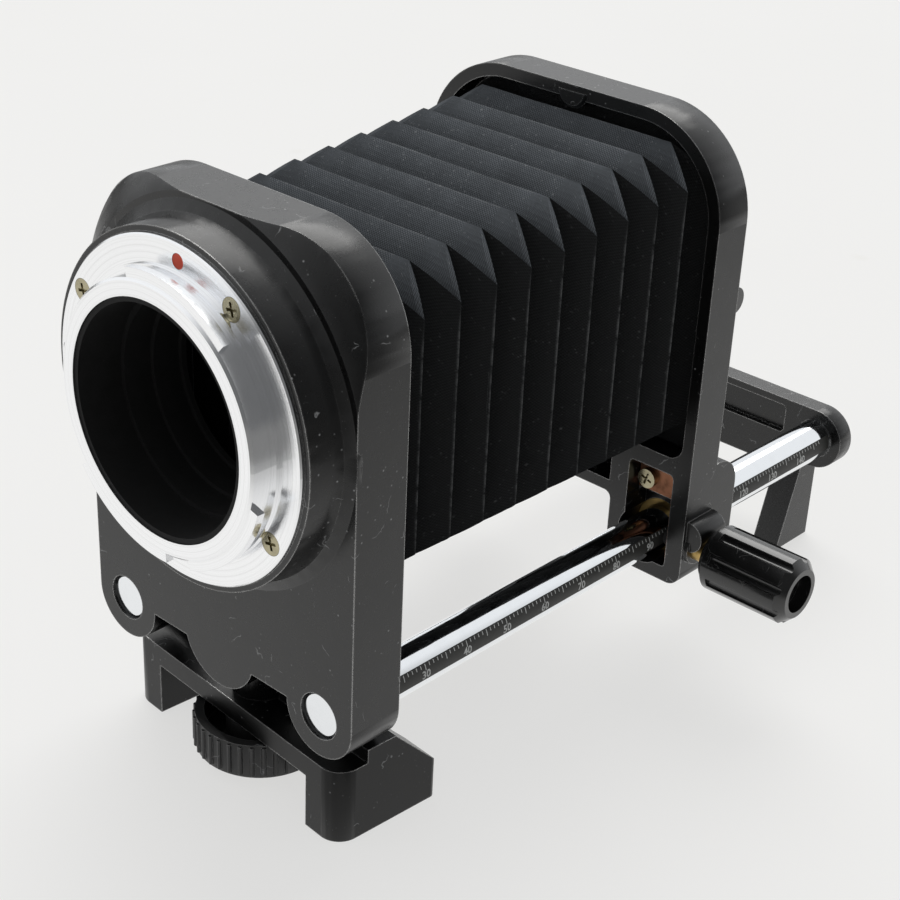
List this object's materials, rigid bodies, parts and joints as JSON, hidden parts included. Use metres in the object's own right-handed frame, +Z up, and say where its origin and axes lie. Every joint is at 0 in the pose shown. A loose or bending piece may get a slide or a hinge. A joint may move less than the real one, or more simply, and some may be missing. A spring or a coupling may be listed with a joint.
{
  "type": "macro bellows unit",
  "caption": "Macro bellows unit: bayonet ring on a camera standard, pleated bellows, sliding lens standard with a lock knob, two rails, clamp foot and end block.",
  "frame": {"origin": "centre of the camera mount's flange face, on the optical axis", "axes": "+Y along the optical axis and the rails, from the camera side to the lens side; +Z up; +X to the side of the lock knob"},
  "size_m": [0.0906, 0.1576, 0.1055],
  "materials": {
    "cast_black": "satin",
    "satin_black": "matte",
    "gloss_black": "gloss",
    "cloth": "matte",
    "bright_metal": "polished",
    "ring_metal": "turned",
    "brass": "turned",
    "copper": "dull copper",
    "red_paint": "gloss"
  },
  "bodies": {
    "base": {"camera_standard": "cast_black", "mount_ring": "ring_metal", "mount_screw_1": "bright_metal", "mount_screw_2": "bright_metal", "mount_screw_3": "bright_metal", "mount_screw_4": "bright_metal", "index_dot": "red_paint", "light_baffle": "satin_black", "front_retainer": "satin_black", "bellows": "cloth", "rail_left": "bright_metal", "rail_right": "bright_metal", "foot_bracket": "cast_black", "clamp_washer": "bright_metal", "end_block": "cast_black", "end_screw_left": "bright_metal", "end_screw_right": "bright_metal"},
    "wheel": {"thumb_wheel": "satin_black", "tripod_insert": "brass", "clamp_screw": "bright_metal"},
    "carriage": {"lens_standard": "cast_black", "rear_retainer": "satin_black", "lens_mount": "ring_metal", "lens_screw_1": "bright_metal", "lens_screw_2": "bright_metal", "lens_screw_3": "bright_metal", "lens_screw_4": "bright_metal", "bush_left": "brass", "bush_right": "brass", "brake_leaf": "copper", "brake_screw": "bright_metal", "brake_pad": "satin_black"},
    "lock": {"lock_knob": "gloss_black", "lock_screw": "brass"},
    "button": {"release_button": "satin_black"},
    "pin": {"lock_pin": "bright_metal"}
  },
  "joints": [
    {"name": "carriage_slide", "type": "slide", "parent": "base", "child": "carriage", "axis": [0, 1, 0], "range_m": [-0.0444, 0.0416], "deforming": ["bellows"]},
    {"name": "lock_turn", "type": "hinge", "parent": "carriage", "child": "lock", "pos_m": [0.0336, 0.094, -0.0463], "axis": [1, 0, 0], "range_deg": [0, 270]},
    {"name": "wheel_turn", "type": "hinge", "parent": "base", "child": "wheel", "pos_m": [0, 0.0171, -0.0687], "axis": [0, 0, 1], "continuous": true},
    {"name": "button_push", "type": "slide", "parent": "carriage", "child": "button", "axis": [-1, 0, 0], "range_m": [0, 0.0015], "stiffness_N_per_m": 400},
    {"name": "pin_draw", "type": "slide", "parent": "carriage", "child": "pin", "axis": [0, -1, 0], "range_m": [0, 0.0015]}
  ],
  "couplings": [
    {"joint": "pin_draw", "follows": "button_push", "ratio": 1}
  ]
}
